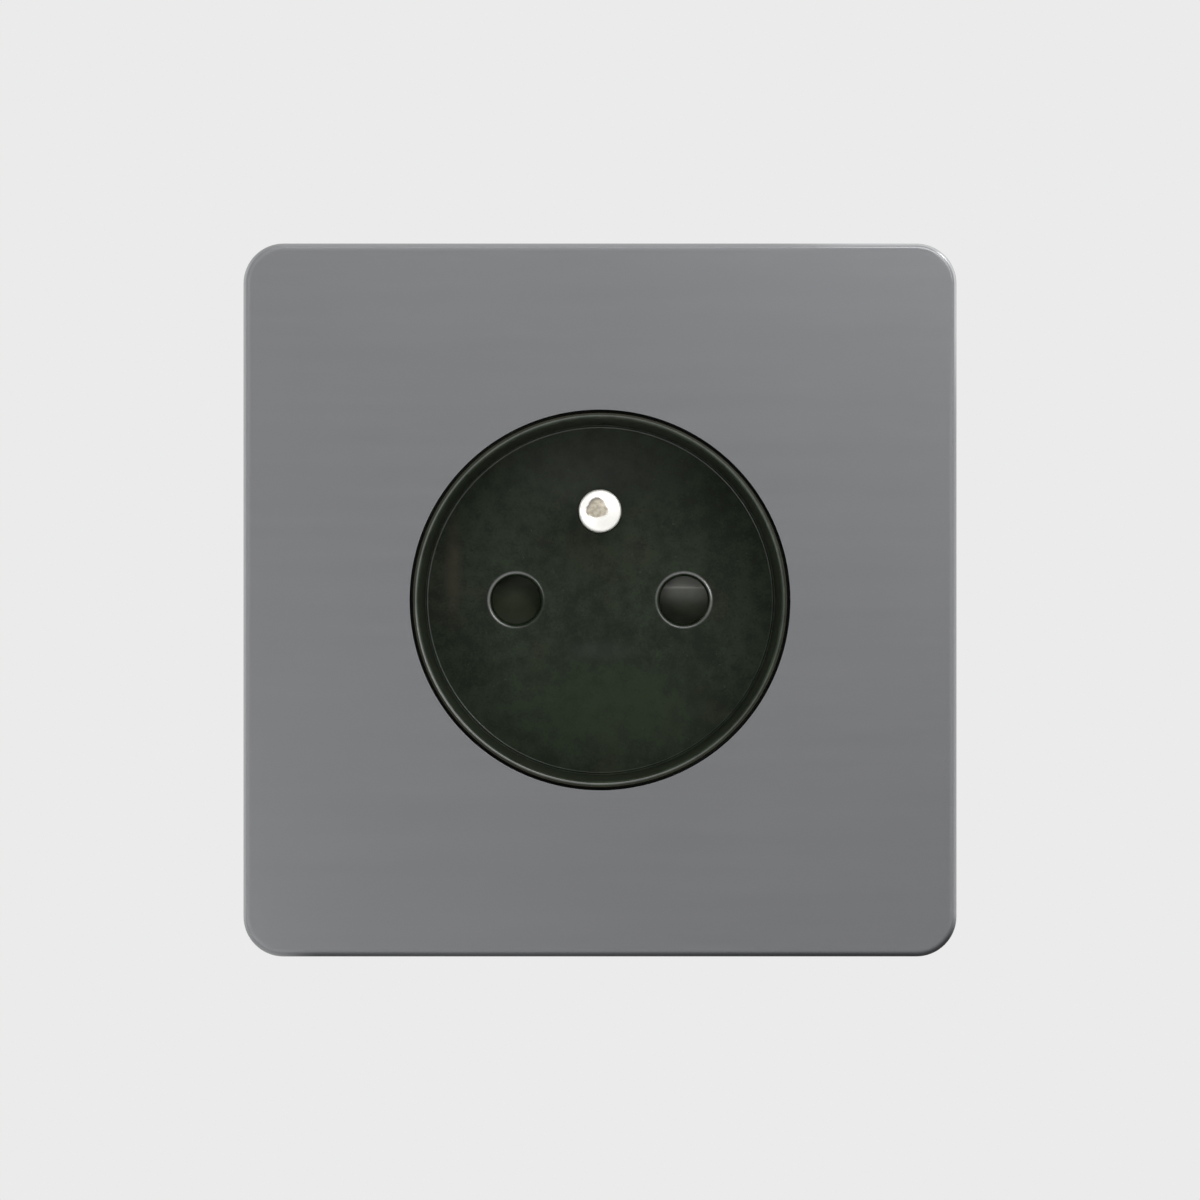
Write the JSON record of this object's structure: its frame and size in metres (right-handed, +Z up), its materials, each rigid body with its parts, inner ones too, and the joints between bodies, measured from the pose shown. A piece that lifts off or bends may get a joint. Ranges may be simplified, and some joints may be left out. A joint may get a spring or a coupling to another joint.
{
  "type": "single wall socket",
  "caption": "Flush wall socket: square satin metal plate round a black well with shuttered pin holes and a fixed earth pin, with contacts and terminals behind.",
  "frame": {"origin": "on the wall's face, at the plate's centre", "axes": "+Z up the wall, +Y into the wall, so the plug goes in along +Y; +X to the right for somebody facing the socket"},
  "size_m": [0.08, 0.0395, 0.08],
  "materials": {
    "satin_metal": "satin grey, very finely brushed",
    "black_plastic": "satin black moulding with a fine texture",
    "shutter_plastic": "satin black moulding",
    "carrier_plastic": "matte black moulding",
    "base_plastic": "light grey moulding",
    "zinc_steel": "zinc plated",
    "spring_steel": "bright drawn wire",
    "nickel": "bright nickel plating on turned brass",
    "bronze": "bright phosphor bronze strip",
    "brass": "bright brass"
  },
  "bodies": {
    "socket": {"face_plate": "satin_metal", "plate_carrier": "carrier_plastic", "support_frame": "zinc_steel", "socket_front": "black_plastic", "earth_pin": "nickel", "shutter_housing": "base_plastic", "line_contact": "bronze", "neutral_contact": "bronze", "earth_bar": "brass", "line_cage": "zinc_steel", "line_pad": "brass", "line_screw": "zinc_steel", "neutral_cage": "zinc_steel", "neutral_pad": "brass", "neutral_screw": "zinc_steel", "earth_cage": "zinc_steel", "earth_pad": "brass", "earth_screw": "zinc_steel", "upper_fixing_screw": "zinc_steel", "lower_fixing_screw": "zinc_steel", "base": "base_plastic", "shutter_spring": "spring_steel"},
    "shutter": {"shutter": "shutter_plastic"}
  },
  "joints": [
    {"name": "shutter_turn", "type": "hinge", "parent": "socket", "child": "shutter", "pos_m": [0, 0.0138, 0], "axis": [0, -1, 0], "range_deg": [0, 40], "stiffness_Nm_per_rad": 0.004, "springref_deg": -28.65, "deforming": ["shutter_spring"]}
  ]
}
